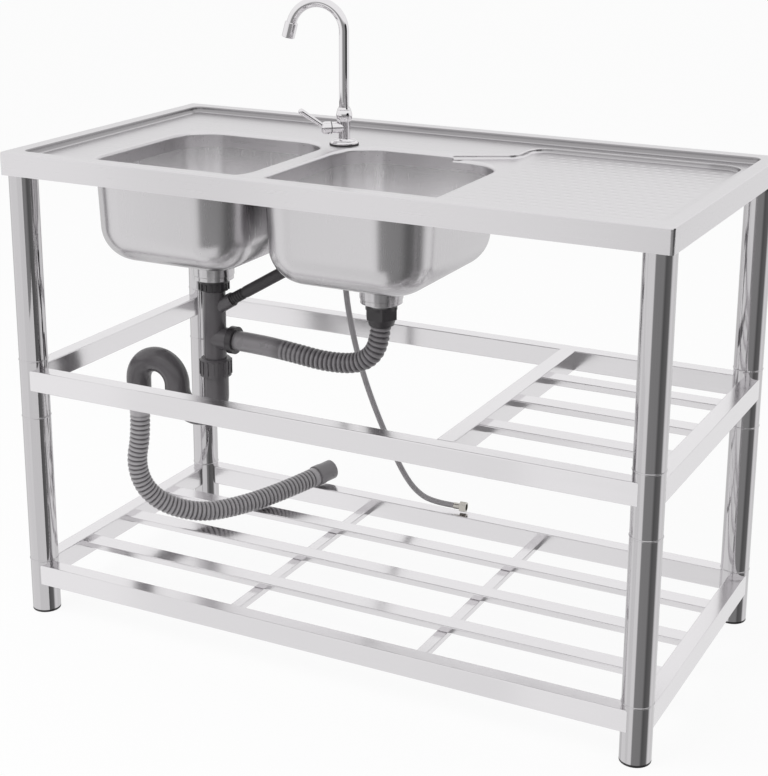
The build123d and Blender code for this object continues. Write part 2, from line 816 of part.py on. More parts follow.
lock_foot = lock_ring / 2 - lock_ring_step
lock_step = lock_bottom + lock_ring_foot
lock_profile = [
    (cup + fit_gap, lock_bottom), (lock_foot, lock_bottom),
    (lock_foot, lock_step), (lock_ring / 2, lock_step + lock_ring_step),
    (lock_ring / 2, washer_bottom), (cup + fit_gap, washer_bottom),
]
with BuildPart() as strainer_lock_rings:
    add(revolved(lock_profile, left_x, bowl_y))
    add(revolved(lock_profile, right_x, bowl_y))
save(strainer_lock_rings.part, "strainer_lock_rings")

# Drain tee: main pipe with a side branch for the overflow and a level branch for the link hose
pipe = pipe_diameter / 2
side_tilt = radians(side_branch_tilt)
side_plane = at((left_x, bowl_y, side_branch_rise), (cos(side_tilt), 0, sin(side_tilt)), (0, 1, 0))
branch_plane = at((left_x, bowl_y, hose_branch_rise), (1, 0, 0), (0, 1, 0))
with BuildPart() as drain_tee:
    with BuildSketch(Plane.XY.offset(tee_bottom)):
        with Locations((left_x, bowl_y)):
            Circle(pipe)
    extrude(amount=spigot_end - tee_bottom)
    with BuildSketch(Plane.XY.offset(spigot_end - collar_lip)):
        with Locations((left_x, bowl_y)):
            Circle(spigot_diameter / 2)
    extrude(amount=collar_lip)
    with BuildSketch(side_plane):
        Circle(side_branch / 2)
    extrude(amount=side_branch_reach, taper=side_branch_taper)
    with BuildSketch(branch_plane):
        Circle(pipe)
    extrude(amount=hose_branch_reach)
    with BuildSketch(branch_plane.offset(hose_branch_reach)):
        Circle(link_hose / 2 + fit_gap)
    extrude(amount=-(hose_branch_reach - pipe), mode=Mode.SUBTRACT)
    with BuildSketch(branch_plane.offset(pipe)):
        Circle(link_hose / 2 - hose_wall - rib_depth)
    extrude(amount=-pipe, mode=Mode.SUBTRACT)
    with BuildSketch(side_plane.offset(side_branch_reach)):
        Circle(overflow_hose_diameter / 2 + fit_gap)
    extrude(amount=-(side_branch_reach - pipe - side_socket), mode=Mode.SUBTRACT)
    with BuildSketch(side_plane):
        Circle(overflow_hose_bore / 2)
    extrude(amount=pipe + side_socket, mode=Mode.SUBTRACT)
    with BuildSketch(Plane.XY.offset(tee_bottom)):
        with Locations((left_x, bowl_y)):
            Circle(pipe_bore / 2)
    extrude(amount=spigot_end - tee_bottom, mode=Mode.SUBTRACT)
save(drain_tee.part, "drain_tee")


# S-trap: socket, U bend, crown and a spigot for the waste hose
trap_mid_x = left_x - 2 * trap_bend
trap_out_x = left_x - 4 * trap_bend
trap_top = slip_nut_top - nut_lip
trap_cap_top = trap_outlet + trap_cap_overlap
trap_end = trap_cap_top - trap_cap
trap_spigot = waste_hose / 2 - rib_depth - hose_wall - fit_gap
with BuildPart() as s_trap:
    with BuildLine(Plane.XZ.offset(-bowl_y)) as trap_path:
        Line((left_x, trap_top), (left_x, trap_low_centre))
        CenterArc((left_x - trap_bend, trap_low_centre), trap_bend, 0, -180)
        Line((trap_mid_x, trap_low_centre), (trap_mid_x, trap_high_centre))
        CenterArc((trap_mid_x - trap_bend, trap_high_centre), trap_bend, 0, 180)
        Line((trap_out_x, trap_high_centre), (trap_out_x, trap_outlet))
    trap_start = at((left_x, bowl_y, trap_top), (0, 0, -1))
    with BuildSketch(trap_start):
        Circle(trap_diameter / 2)
    sweep(path=trap_path.wires()[0])
    with BuildSketch(trap_start):
        Circle(trap_bore / 2)
    sweep(path=trap_path.wires()[0], mode=Mode.SUBTRACT)
    with BuildSketch(Plane.XY.offset(trap_cap_top)):
        with Locations((trap_out_x, bowl_y)):
            Circle(trap_diameter / 2)
    extrude(amount=-trap_cap)
    with BuildSketch(Plane.XY.offset(trap_end)):
        with Locations((trap_out_x, bowl_y)):
            Circle(trap_spigot)
    extrude(amount=-trap_spigot_length)
    with Locations((trap_out_x, bowl_y, trap_cap_top)):
        Hole(trap_spigot - trap_spigot_wall, depth=trap_cap + trap_spigot_length)
save(s_trap.part, "s_trap")

# Nuts of the plumbing: under the left strainer, on the level branch, on the trap, under the right one
nut_top = spigot_end - collar_lip - nut_lip + nut_height
nut_bottom = nut_top - nut_height
slip_bottom = slip_nut_top - slip_nut_height
hose_end = branch_plane.offset(hose_branch_reach)
hex_bottom = spigot_end - hex_nut_height + nut_height / 2
hex_foot = link_hose / 2 + nut_lip


def grips(nut_diameter, bottom, height):
    with BuildPart() as ribs:
        with BuildSketch(Plane.XY.offset(bottom)):
            with Locations((left_x, bowl_y)):
                with PolarLocations(nut_diameter / 2, grip_ribs):
                    Rectangle(2 * grip_depth, grip_width)
        extrude(amount=height)
    return ribs.part


with BuildPart() as drain_nuts:
    add(revolved([
        (pipe + fit_gap, nut_bottom), (top_nut / 2 - nut_chamfer, nut_bottom),
        (top_nut / 2, nut_bottom + nut_chamfer), (top_nut / 2, nut_top),
        (spigot_diameter / 2 + fit_gap, nut_top),
        (spigot_diameter / 2 + fit_gap, spigot_end - collar_lip),
        (pipe + fit_gap, spigot_end - collar_lip),
    ], left_x, bowl_y))
    add(grips(top_nut, nut_bottom + nut_chamfer, nut_height - nut_lip - nut_chamfer))
    with BuildSketch(hose_end.offset(branch_nut_lip - branch_nut_length)):
        Circle(branch_nut / 2)
        Circle(pipe + fit_gap, mode=Mode.SUBTRACT)
    extrude(amount=branch_nut_length - branch_nut_lip)
    with BuildSketch(hose_end):
        Circle(branch_nut / 2)
        Circle(link_hose / 2 + fit_gap, mode=Mode.SUBTRACT)
    extrude(amount=branch_nut_lip)
    add(revolved([
        (trap_diameter / 2 + fit_gap, slip_bottom), (slip_nut / 2, slip_bottom),
        (slip_nut / 2, slip_nut_top - slip_nut_bevel), (slip_nut / 2 - slip_nut_bevel, slip_nut_top),
        (pipe + fit_gap, slip_nut_top), (pipe + fit_gap, trap_top),
        (trap_diameter / 2 + fit_gap, trap_top),
    ], left_x, bowl_y))
    add(grips(slip_nut, slip_bottom + nut_lip, slip_nut_height - 2 * nut_lip))
    with BuildSketch(Plane.XY.offset(hex_bottom + hex_nut_taper)):
        with Locations((right_x, bowl_y)):
            RegularPolygon(hex_nut / 2, 6, major_radius=False)
    extrude(amount=hex_nut_height - hex_nut_taper)
    with BuildSketch(Plane.XY.offset(hex_bottom + hex_nut_height - hex_nut_flange_height)):
        with Locations((right_x, bowl_y)):
            Circle(hex_nut_flange / 2)
    extrude(amount=hex_nut_flange_height)
    add(revolved([
        (0, hex_bottom), (hex_foot, hex_bottom), (hex_nut / 2, hex_bottom + hex_nut_taper),
        (0, hex_bottom + hex_nut_taper),
    ], right_x, bowl_y))
    with BuildSketch(Plane.XY.offset(hex_bottom)):
        with Locations((right_x, bowl_y)):
            Circle(link_hose / 2 + fit_gap)
    extrude(amount=hex_nut_height, mode=Mode.SUBTRACT)
    with BuildSketch(Plane.XY.offset(spigot_end)):
        with Locations((right_x, bowl_y)):
            Circle(spigot_diameter / 2 + fit_gap)
    extrude(amount=hex_nut_height, mode=Mode.SUBTRACT)
save(drain_nuts.part, "drain_nuts")


# Hoses: straight runs joined by arcs as large as their runs allow
def arc_radii(points):
    """Radius at each inner point: 0.45 of the shorter run over the tangent of half the turn."""
    radii = []
    for before, here, after in zip(points, points[1:], points[2:]):
        inward = Vector(*here) - Vector(*before)
        outward = Vector(*after) - Vector(*here)
        half_turn = radians(inward.get_angle(outward)) / 2
        radii.append(0.45 * min(inward.length, outward.length) / tan(half_turn))
    return radii


def route_wire(name, points):
    radii = arc_radii(points)
    with BuildLine() as route:
        FilletPolyline(*points, radius=radii)
    wire = route.wires()[0]
    print(name, "length", round(wire.length), "least radius", round(min(radii)))
    return wire


def cross_section(wire, distance, steady):
    along = wire.tangent_at(distance, position_mode=PositionMode.LENGTH)
    across = Vector(*steady) - along * along.dot(Vector(*steady))
    spot = wire.position_at(distance, position_mode=PositionMode.LENGTH)
    return Plane(origin=spot, x_dir=across, z_dir=along)


def plain_rings(start, end, radius):
    steps = max(1, round((end - start) / rib_pitch))
    return [(start + (end - start) * step / steps, radius) for step in range(steps + 1)]


def ribbed_hose(name, points, diameter, plain_start, plain_end, steady):
    wire = route_wire(name, points)
    crest = diameter / 2
    root = crest - rib_depth
    ribbed = wire.length - plain_start - plain_end
    count = int(ribbed / rib_pitch)
    pitch = ribbed / count
    rings = plain_rings(0.0, plain_start, crest)
    for rib in range(count):
        start = plain_start + rib * pitch
        rings.append((start + rib_valley[0] * pitch, root))
        rings.append((start + rib_valley[1] * pitch, root))
        rings.append((start + rib_crest * pitch, crest))
        rings.append((start + pitch, crest))
    rings += plain_rings(wire.length - plain_end, wire.length, crest)[1:]
    with BuildPart() as hose:
        for distance, radius in rings:
            with BuildSketch(cross_section(wire, distance, steady)):
                Circle(radius)
        loft(ruled=True)
        with BuildSketch(cross_section(wire, 0.0, steady)):
            Circle(root - hose_wall)
        sweep(path=wire, mode=Mode.SUBTRACT)
    print(name, "ribs", count, "volume", round(hose.part.volume),
          "tube", round(wire.length * pi * (root**2 - (root - hose_wall) ** 2)))
    save(hose.part, name)
    return wire


link_points = [
    (left_x + pipe + 1, bowl_y, hose_branch_rise),
    (left_x + 89, bowl_y, hose_branch_rise),
    (left_x + 161, bowl_y, 504),
    (left_x + 235, bowl_y, 496),
    (left_x + 305, bowl_y, 505),
    (right_x, bowl_y, 547),
    (right_x, bowl_y, spigot_end - fit_gap),
]
ribbed_hose("link_hose", link_points, link_hose, link_plain, cuff_plain, (0, 1, 0))

waste_points = [
    (trap_out_x, bowl_y, trap_end),
    (trap_out_x, bowl_y, 292),
    (trap_out_x - 13, bowl_y - 2, 234),
    (trap_out_x - 4, bowl_y + 10, 178),
    (trap_out_x + 27, bowl_y + 40, 137),
    (trap_out_x + 72, bowl_y + 92, 111),
    (trap_out_x + 108, bowl_y + 158, 106),
    (trap_out_x + 138, bowl_y + 228, 107),
    (trap_out_x + 165, bowl_y + 294, 112.6),
    (trap_out_x + 181, bowl_y + 346, 116.4),
]
waste_wire = ribbed_hose("waste_hose", waste_points, waste_hose, cuff_plain, cuff_plain, (1, 0, 0))

with BuildPart() as waste_hose_end:
    end_plane = cross_section(waste_wire, waste_wire.length, (1, 0, 0))
    with BuildSketch(end_plane):
        Circle(hose_cuff / 2 - cuff_step)
        Circle(waste_hose / 2 - rib_depth - hose_wall, mode=Mode.SUBTRACT)
    extrude(amount=hose_cuff_length)
    with BuildSketch(end_plane.offset(cuff_band_start)):
        Circle(hose_cuff / 2)
        Circle(waste_hose / 2 - rib_depth, mode=Mode.SUBTRACT)
    extrude(amount=cuff_band)
save(waste_hose_end.part, "waste_hose_end")

supply_points = [
    (tap_x, tap_y, hose_top),
    (tap_x, tap_y, 716),
    (tap_x - 10, tap_y + 14, 632),
    (tap_x - 10, tap_y + 26, 548),
    (tap_x - 3, tap_y + 43, 465),
    (tap_x + 7, tap_y + 66, 384),
    (tap_x + 20, tap_y + 94, 306),
    (tap_x + 33, tap_y + 125, 234),
    (tap_x + 46, tap_y + 154, 170),
    (tap_x + 66, tap_y + 172, 127),
    (tap_x + 100, tap_y + 178, 107.4),
    (tap_x + 146, tap_y + 183, 106.6),
]
supply_wire = route_wire("supply_hose", supply_points)
with BuildPart() as supply_hose:
    with BuildSketch(cross_section(supply_wire, 0.0, (1, 0, 0))):
        Circle(supply_hose_diameter / 2)
    sweep(path=supply_wire)
save(supply_hose.part, "supply_hose")
print("supply_hose volume", round(supply_hose.part.volume),
      "tube", round(supply_wire.length * pi * supply_hose_diameter**2 / 4))

supply_end_plane = cross_section(supply_wire, supply_wire.length, (0, 0, 1))
with BuildPart() as supply_hose_end:
    with BuildSketch(supply_end_plane):
        Circle(supply_hose_diameter / 2 + ferrule_wall)
    extrude(amount=ferrule_length)
    with BuildSketch(supply_end_plane.offset(ferrule_length)):
        RegularPolygon(supply_end_size / 2, 6, major_radius=False)
        Circle(supply_end_thread / 2, mode=Mode.SUBTRACT)
    extrude(amount=supply_end_length)
save(supply_hose_end.part, "supply_hose_end")

# Overflow: hose from the tee up between the bowls to an outlet on the left bowl's right wall
draft = radians(bowl_draft)
wall_x = left_x + bowl_width / 2 - (apron_bottom - overflow_height) * tan(draft)
overflow_x = wall_x + sheet + overflow_beside_bowl
overflow_start = side_plane.offset(pipe + side_socket).origin
overflow_turn = overflow_start.Z + (overflow_x - overflow_start.X) * tan(side_tilt)
outlet_bottom = overflow_height - outlet_drop
overflow_points = [
    (overflow_start.X, bowl_y, overflow_start.Z),
    (overflow_x, bowl_y, overflow_turn),
    (overflow_x, bowl_y, outlet_bottom),
]
overflow_wire = route_wire("overflow_hose", overflow_points)
with BuildPart() as overflow_hose:
    with BuildSketch(cross_section(overflow_wire, 0.0, (0, 1, 0))):
        Circle(overflow_hose_diameter / 2)
    sweep(path=overflow_wire)
    with BuildSketch(cross_section(overflow_wire, 0.0, (0, 1, 0))):
        Circle(overflow_hose_bore / 2)
    sweep(path=overflow_wire, mode=Mode.SUBTRACT)
save(overflow_hose.part, "overflow_hose")

wall_plane = at((wall_x + sheet, bowl_y, overflow_height), (cos(draft), 0, -sin(draft)), (0, 1, 0))
elbow = overflow_hose_bore / 2 + elbow_wall
with BuildPart() as overflow_outlet:
    with BuildSketch(wall_plane):
        Circle(elbow + outlet_flange)
    extrude(amount=elbow_wall)
    with BuildSketch(wall_plane):
        Circle(elbow)
    extrude(amount=overflow_beside_bowl)
    with Locations((overflow_x, bowl_y, overflow_height)):
        Sphere(elbow)
    with BuildSketch(Plane.XY.offset(outlet_bottom)):
        with Locations((overflow_x, bowl_y)):
            Circle(elbow)
    extrude(amount=overflow_height - outlet_bottom)
    with BuildSketch(Plane.XY.offset(outlet_bottom)):
        with Locations((overflow_x, bowl_y)):
            Circle(overflow_hose_bore / 2)
    extrude(amount=overflow_height - outlet_bottom, mode=Mode.SUBTRACT)
    with BuildSketch(wall_plane):
        Circle(overflow_hose_bore / 2)
    extrude(amount=overflow_beside_bowl, mode=Mode.SUBTRACT)
save(overflow_outlet.part, "overflow_outlet")

inner_wall = at((wall_x, bowl_y, overflow_height), (-cos(draft), 0, sin(draft)), (0, 1, 0))
with BuildPart() as overflow_rosette:
    with BuildSketch(inner_wall):
        Circle(rosette_diameter / 2)
    extrude(amount=rosette_thickness)
    fillet(overflow_rosette.edges().sort_by(Axis.X)[0], radius=rosette_thickness / 2)
    with BuildSketch(inner_wall):
        with PolarLocations(rosette_diameter / 4, rosette_holes):
            Circle(rosette_hole / 2)
    extrude(amount=rosette_thickness, mode=Mode.SUBTRACT)
save(overflow_rosette.part, "overflow_rosette")
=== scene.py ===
# Stainless steel sink bench with two bowls: finishes, hoses, small pressed detail, light and camera
import math

import bmesh
import bpy
from mathutils import Matrix, Vector


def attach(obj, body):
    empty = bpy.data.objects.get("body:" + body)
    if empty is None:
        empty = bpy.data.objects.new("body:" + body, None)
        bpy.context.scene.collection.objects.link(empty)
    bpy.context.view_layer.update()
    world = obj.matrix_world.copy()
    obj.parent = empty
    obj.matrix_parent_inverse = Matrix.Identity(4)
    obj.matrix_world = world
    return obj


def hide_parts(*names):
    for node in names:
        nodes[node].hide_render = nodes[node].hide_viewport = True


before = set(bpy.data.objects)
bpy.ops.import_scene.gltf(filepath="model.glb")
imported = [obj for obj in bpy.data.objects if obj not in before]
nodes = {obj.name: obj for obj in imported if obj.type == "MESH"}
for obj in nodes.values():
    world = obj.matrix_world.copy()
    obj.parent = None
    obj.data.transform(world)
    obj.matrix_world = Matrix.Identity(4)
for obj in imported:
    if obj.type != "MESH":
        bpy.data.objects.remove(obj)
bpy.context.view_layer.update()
scene = bpy.context.scene
scene.view_settings.view_transform = "Standard"
print("frame:", len(nodes), "nodes")


# camera, at the photograph's viewing angle
cameraSetup = {
    "lens": 77.04,  # on a 36 mm sensor
    "shift": (0.0, -0.12),
    "place": (1.2668, -2.4971, 1.3973),
    "azimuth": 27.081,
    "elevation": 15.706,
    "roll": 0.242,
}


def makeCamera(setup):
    azimuth, elevation, roll = (math.radians(setup[key]) for key in ("azimuth", "elevation", "roll"))
    forward = Vector((
        -math.sin(azimuth) * math.cos(elevation),
        math.cos(azimuth) * math.cos(elevation),
        -math.sin(elevation),
    ))
    level = Vector((math.cos(azimuth), math.sin(azimuth), 0.0))
    upright = level.cross(forward)
    right = level * math.cos(roll) + upright * math.sin(roll)
    upward = right.cross(forward)
    camera = bpy.data.objects.new("camera", bpy.data.cameras.new("camera"))
    camera.data.lens = setup["lens"]
    camera.data.shift_x, camera.data.shift_y = setup["shift"]
    axes = Matrix((right, upward, -forward)).transposed()
    camera.matrix_world = Matrix.Translation(setup["place"]) @ axes.to_4x4()
    scene.collection.objects.link(camera)
    scene.camera = camera


makeCamera(cameraSetup)
print("camera set")


# node and material helpers
def linear(hexColour):
    channels = [int(hexColour[i:i + 2], 16) / 255 for i in (0, 2, 4)]
    curve = [c / 12.92 if c <= 0.04045 else ((c + 0.055) / 1.055) ** 2.4 for c in channels]
    return (*curve, 1.0)


def addNode(tree, kind, values=None, links=None, **settings):
    node = tree.nodes.new(kind)
    for key, value in settings.items():
        setattr(node, key, value)
    for key, value in (values or {}).items():
        node.inputs[key].default_value = value
    for key, socket in (links or {}).items():
        tree.links.new(socket, node.inputs[key])
    return node


def newMaterial(name, **sockets):
    material = bpy.data.materials.new(name)
    material.use_nodes = True
    shader = material.node_tree.nodes["Principled BSDF"]
    for key, value in sockets.items():
        shader.inputs[key.replace("_", " ")].default_value = value
    return material, material.node_tree, shader


def perMetre(*spacingMm):
    return tuple(1000 / spacing for spacing in spacingMm)


def joinShader(tree, shader, colour, gloss, bump):
    tree.links.new(colour.outputs[2], shader.inputs["Base Color"])
    tree.links.new(gloss.outputs["Result"], shader.inputs["Roughness"])
    tree.links.new(bump.outputs["Normal"], shader.inputs["Normal"])


# painted shade on the bends near the edges of the pressing, told by their slope: they are painted darker
def paintedBendShade(tree, place, colour, bendShade):
    (flat, upright), (begin, full) = bendShade["slope"], bendShade["edge"]
    facing = addNode(tree, "ShaderNodeSeparateXYZ", links={0: place.outputs["Normal"]})
    steep = addNode(tree, "ShaderNodeMapRange", {"From Min": flat, "From Max": upright},
                    {"Value": facing.outputs["Z"]})
    edge = addNode(tree, "ShaderNodeVectorMath", {1: (*bendShade["halfSides"], 1.0)}, {0: place.outputs["Object"]},
                   operation="DIVIDE")
    edge = addNode(tree, "ShaderNodeVectorMath", links={0: edge.outputs[0]}, operation="ABSOLUTE")
    edge = addNode(tree, "ShaderNodeSeparateXYZ", links={0: edge.outputs[0]})
    edge = addNode(tree, "ShaderNodeMath", links={0: edge.outputs["X"], 1: edge.outputs["Y"]}, operation="MAXIMUM")
    near = addNode(tree, "ShaderNodeMapRange", {"From Min": begin, "From Max": full}, {"Value": edge.outputs[0]})
    within = addNode(tree, "ShaderNodeMath", {1: 1.0}, {0: edge.outputs[0]}, operation="LESS_THAN")
    bendShadeMask = addNode(tree, "ShaderNodeMath", links={0: steep.outputs["Result"], 1: near.outputs["Result"]},
                   operation="MULTIPLY")
    bendShadeMask = addNode(tree, "ShaderNodeMath", links={0: bendShadeMask.outputs[0], 1: within.outputs[0]}, operation="MULTIPLY")
    return addNode(tree, "ShaderNodeMix", {7: linear(bendShade["colour"])}, {0: bendShadeMask.outputs[0], 6: colour.outputs[2]},
                   data_type="RGBA")


# painted light inside a bowl: the faces that look towards its centre are painted paler, from the lip down, and paler
# still towards the bottom
def paintedInsideLight(tree, place, colour, insideLight):
    upper, lower = insideLight["fade"]
    away = addNode(tree, "ShaderNodeVectorMath", {1: insideLight["centre"]}, {0: place.outputs["Object"]},
                   operation="SUBTRACT")
    facing = addNode(tree, "ShaderNodeVectorMath", links={0: away.outputs[0], 1: place.outputs["Normal"]},
                     operation="DOT_PRODUCT")
    within = addNode(tree, "ShaderNodeMath", {1: 0.0}, {0: facing.outputs["Value"]}, operation="LESS_THAN")
    height = addNode(tree, "ShaderNodeSeparateXYZ", links={0: away.outputs[0]})
    low = addNode(tree, "ShaderNodeMapRange", {"From Min": upper, "From Max": lower}, {"Value": height.outputs["Z"]})
    inner = addNode(tree, "ShaderNodeMix", {6: linear(insideLight["lip"]), 7: linear(insideLight["deep"])},
                    {0: low.outputs["Result"]}, data_type="RGBA")
    return addNode(tree, "ShaderNodeMix", data_type="RGBA",
                   links={0: within.outputs[0], 6: colour.outputs[2], 7: inner.outputs[2]})


# Steel: a metal grain drawn out along one direction, with a slow waviness of the sheet over it
steelTexture = {
    "grainShare": 0.65, "waveShare": 0.35,  # in the change of colour
    "grainRange": (0.3, 0.7),  # values of the noise that the roughness is spread over
    "bumpDepth": 0.0002,  # metres
}


def grainedSteel(name, look):
    material, tree, shader = newMaterial(name, Metallic=1.0)
    place = addNode(tree, "ShaderNodeTexCoord")
    grainPlace = addNode(tree, "ShaderNodeMapping", {"Scale": perMetre(*look["grainMm"])},
                         {"Vector": place.outputs["Object"]})
    grain = addNode(tree, "ShaderNodeTexNoise", {"Scale": 1.0, "Detail": 3.0, "Roughness": 0.6},
                    {"Vector": grainPlace.outputs["Vector"]})
    wavePlace = addNode(tree, "ShaderNodeMapping", {"Scale": perMetre(*look["waveMm"])},
                        {"Vector": place.outputs["Object"]})
    wave = addNode(tree, "ShaderNodeTexNoise", {"Scale": 1.0, "Detail": 1.0},
                   {"Vector": wavePlace.outputs["Vector"]})
    shade = addNode(tree, "ShaderNodeMath", {1: steelTexture["grainShare"]}, {0: grain.outputs["Fac"]},
                    operation="MULTIPLY")
    shade = addNode(tree, "ShaderNodeMath", {1: steelTexture["waveShare"]},
                    {0: wave.outputs["Fac"], 2: shade.outputs[0]}, operation="MULTIPLY_ADD")
    colour = addNode(tree, "ShaderNodeMix", {6: linear(look["dark"]), 7: linear(look["light"])},
                     {0: shade.outputs[0]}, data_type="RGBA")
    # painted shade: the bends of the pressing darker
    if "bendShade" in look:
        colour = paintedBendShade(tree, place, colour, look["bendShade"])
    # painted light: the inside of a bowl paler
    if "insideLight" in look:
        colour = paintedInsideLight(tree, place, colour, look["insideLight"])
    (grainLow, grainHigh), (smooth, coarse) = steelTexture["grainRange"], look["rough"]
    gloss = addNode(tree, "ShaderNodeMapRange",
                    {"From Min": grainLow, "From Max": grainHigh, "To Min": smooth, "To Max": coarse},
                    {"Value": grain.outputs["Fac"]})
    bump = addNode(tree, "ShaderNodeBump", {"Strength": look["bump"], "Distance": steelTexture["bumpDepth"]},
                   {"Height": grain.outputs["Fac"]})
    joinShader(tree, shader, colour, gloss, bump)
    return material


# Cold-rolled 304 sheet, satin ground along its length: pale, even and soft in its reflections.
# The real grit is 0.1 mm wide, too fine for the picture, so it is drawn 2 mm wide. The bends of the rim and the
# drainboard's edge are painted darker, as painted shade.
satinSheet = grainedSteel("satinSheetSteel", {
    "dark": "DBD9DB", "light": "DFDDDF", "rough": (0.27, 0.3), "bump": 0.002,
    "grainMm": (140.0, 2.0, 2.0), "waveMm": (260.0, 180.0, 90.0),
    # painted shade on the bends of the rim and the drainboard's edge
    "bendShade": {
        "colour": "9E9C9E", "halfSides": (0.592, 0.292),  # half the length and depth that hold the bends
        "edge": (0.76, 0.84),  # shares of those, between which the painted shade sets in
        "slope": (0.97, 0.7),  # how far up the flat sheet faces, and the steep of a bend
    },
})

# Deep-drawn bowls, brushed after drawing: upright strokes on the walls. The inside is painted paler, and paler towards
# the bottom, as painted light.
# The strokes are drawn 2.6 mm wide, because the real ones are too fine to show.
bowlLook = {
    "dark": "CFCDCF", "light": "D3D1D3", "rough": (0.26, 0.275), "bump": 0.002,
    "grainMm": (2.6, 2.6, 140.0), "waveMm": (120.0, 120.0, 160.0),
}
# painted light: the inside colours, paler than the outside, from the lip to deep down
bowlInsideLight = {"lip": "E1E0E1", "deep": "F7F6F7", "fade": (0.03, -0.02)}  # heights from the bowl's centre
bowlCentres = {"left_bowl": (-0.313, -0.078, 0.8), "right_bowl": (0.025, -0.078, 0.8)}
bowlSteels = {}
for bowl, centre in bowlCentres.items():
    insideLight = {**bowlInsideLight, "centre": centre}
    bowlSteels[bowl] = grainedSteel("brushedSteel_" + bowl, {**bowlLook, "insideLight": insideLight})

# Polished welded tube of the legs: it mirrors the room, so it looks darker; its colour is also set darker than the
# sheet's, as painted shade. Faint lines along the tube are drawn 1.6 mm wide so that they show
tubeSteel = grainedSteel("polishedTubeSteel", {
    "dark": "C1BFC1", "light": "CDCBCD", "rough": (0.06, 0.1), "bump": 0.015,
    "grainMm": (1.6, 1.6, 220.0), "waveMm": (30.0, 30.0, 400.0),
})

# Brushed box section of the shelves, paler and softer than the legs: one finish for the runs along X and one for those
# along Y, with strokes drawn 1.8 mm wide so that they show
railLook = {"dark": "E2E0E2", "light": "E8E6E8", "rough": (0.17, 0.22), "bump": 0.006}
longRailSteel = grainedSteel("brushedRailSteelAlong", {
    **railLook, "grainMm": (160.0, 1.8, 1.8), "waveMm": (300.0, 60.0, 60.0),
})
crossRailSteel = grainedSteel("brushedRailSteelAcross", {
    **railLook, "grainMm": (1.8, 160.0, 1.8), "waveMm": (60.0, 300.0, 60.0),
})

# Turned stainless of the strainers and lock rings: marks of the lathe as fine level lines, drawn 1.4 mm apart to show
turnedSteel = grainedSteel("turnedStrainerSteel", {
    "dark": "BAB8BA", "light": "D2D0D2", "rough": (0.14, 0.24), "bump": 0.05,
    "grainMm": (30.0, 30.0, 1.4), "waveMm": (60.0, 60.0, 60.0),
})


# Chromium plate on brass: a mirror with next to no texture, only a trace of haze in patches
chromeLook = {"colour": "E6E4E6", "hazeMm": 14.0, "rough": (0.03, 0.07)}


def chromePlate(look):
    material, tree, shader = newMaterial("chromePlate", Metallic=1.0, Base_Color=linear(look["colour"]))
    place = addNode(tree, "ShaderNodeTexCoord")
    haze = addNode(tree, "ShaderNodeTexNoise", {"Scale": 1000 / look["hazeMm"], "Detail": 2.0},
                   {"Vector": place.outputs["Object"]})
    smooth, coarse = look["rough"]
    gloss = addNode(tree, "ShaderNodeMapRange", {"To Min": smooth, "To Max": coarse}, {"Value": haze.outputs["Fac"]})
    tree.links.new(gloss.outputs["Result"], shader.inputs["Roughness"])
    return material


chrome = chromePlate(chromeLook)


# Moulded plastic or rubber: a spark-eroded skin, drawn coarser than the real one so that it shows, and slightly uneven
# in its gloss
skinDepth = 0.0003  # metres that its bump stands for


def mouldedPlastic(name, look):
    material, tree, shader = newMaterial(name, IOR=look["ior"])
    place = addNode(tree, "ShaderNodeTexCoord")
    skin = addNode(tree, "ShaderNodeTexNoise", {"Scale": 1000 / look["skinMm"], "Detail": 2.0},
                   {"Vector": place.outputs["Object"]})
    cloud = addNode(tree, "ShaderNodeTexNoise", {"Scale": 1000 / look["cloudMm"], "Detail": 3.0},
                    {"Vector": place.outputs["Object"]})
    colour = addNode(tree, "ShaderNodeMix", {6: linear(look["dark"]), 7: linear(look["light"])},
                     {0: cloud.outputs["Fac"]}, data_type="RGBA")
    if "below" in look:
        lower = look["below"]
        height = addNode(tree, "ShaderNodeSeparateXYZ", links={0: place.outputs["Object"]})
        low = addNode(tree, "ShaderNodeMath", {1: lower["level"]}, {0: height.outputs["Z"]}, operation="LESS_THAN")
        colour = addNode(tree, "ShaderNodeMix", {7: linear(lower["colour"])},
                         {0: low.outputs[0], 6: colour.outputs[2]}, data_type="RGBA")
    # painted shade: the grooves of a ribbed hose darker than its crests
    if "grooveShade" in look:
        grooveShade = addNode(tree, "ShaderNodeAttribute", attribute_name="grooveShade")
        colour = addNode(tree, "ShaderNodeMix", {7: linear(look["grooveShade"])},
                         {0: grooveShade.outputs["Fac"], 6: colour.outputs[2]}, data_type="RGBA")
    smooth, coarse = look["rough"]
    gloss = addNode(tree, "ShaderNodeMapRange", {"To Min": smooth, "To Max": coarse}, {"Value": cloud.outputs["Fac"]})
    bump = addNode(tree, "ShaderNodeBump", {"Strength": look["bump"], "Distance": skinDepth},
                   {"Height": skin.outputs["Fac"]})
    joinShader(tree, shader, colour, gloss, bump)
    return material


# Filled polypropylene pipe, dark grey
pipePlastic = mouldedPlastic("greyPipePolypropylene", {
    "dark": "524F52", "light": "5E5B5E", "rough": (0.2, 0.28), "bump": 0.05, "ior": 1.49,
    "skinMm": 1.5, "cloudMm": 40.0,
})
# The same resin in black for the nuts, apart from the grey slip nut over the trap
nutPlastic = mouldedPlastic("blackNutPolypropylene", {
    "dark": "2F2C2F", "light": "3B383B", "rough": (0.22, 0.3), "bump": 0.05, "ior": 1.49,
    "skinMm": 1.5, "cloudMm": 30.0, "below": {"level": 0.48, "colour": "545154"},
})
# Blow-moulded polyethylene hose; the grooves are painted darker than the crests, as painted shade
hosePlastic = mouldedPlastic("greyHosePolyethylene", {
    "dark": "B3B0B3", "light": "C1BEC1", "rough": (0.26, 0.34), "bump": 0.06, "ior": 1.51,
    "skinMm": 1.5, "cloudMm": 30.0, "grooveShade": "545154",
})
